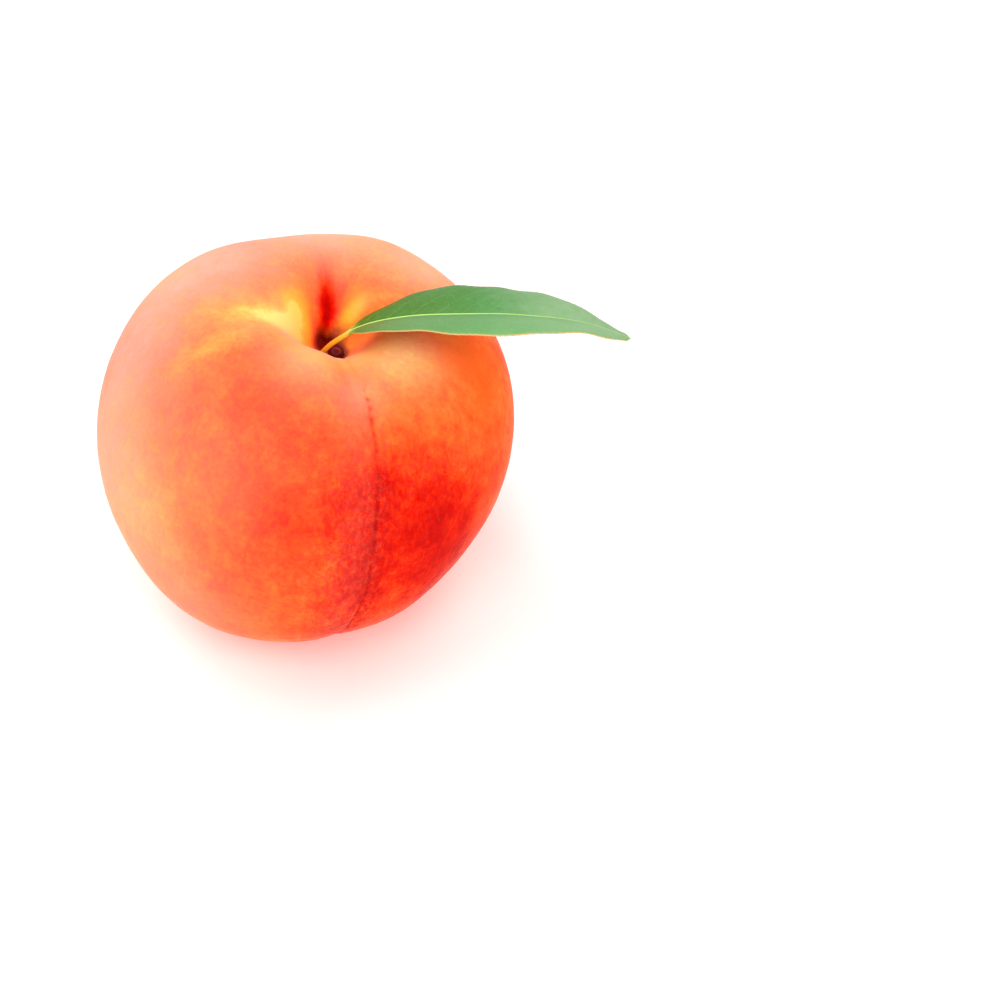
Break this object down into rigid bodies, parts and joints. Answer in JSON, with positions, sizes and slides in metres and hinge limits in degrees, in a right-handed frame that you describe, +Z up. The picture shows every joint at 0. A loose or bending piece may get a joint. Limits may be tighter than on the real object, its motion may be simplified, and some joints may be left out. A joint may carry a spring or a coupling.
{
  "type": "peach",
  "caption": "Ripe round peach with a soft fuzzy skin, a seam down one side, a stem cavity holding the woody stalk end, and a leaf arching out over its shoulder.",
  "frame": {"origin": "centre of the small flat spot under the fruit that it rests on", "axes": "+Z up; -Y is the front, the side with the seam; +X is the side that the leaf reaches towards"},
  "size_m": [0.0965, 0.076, 0.0735],
  "materials": {
    "skin": "matte velvety fuzz, orange-red blush over yellow",
    "stub": "rough dry bark brown",
    "leaf": "satin green with a paler midrib"
  },
  "bodies": {
    "root": {"peach_fruit": "skin", "stem_stub": "stub", "leaf": "leaf"}
  },
  "joints": []
}
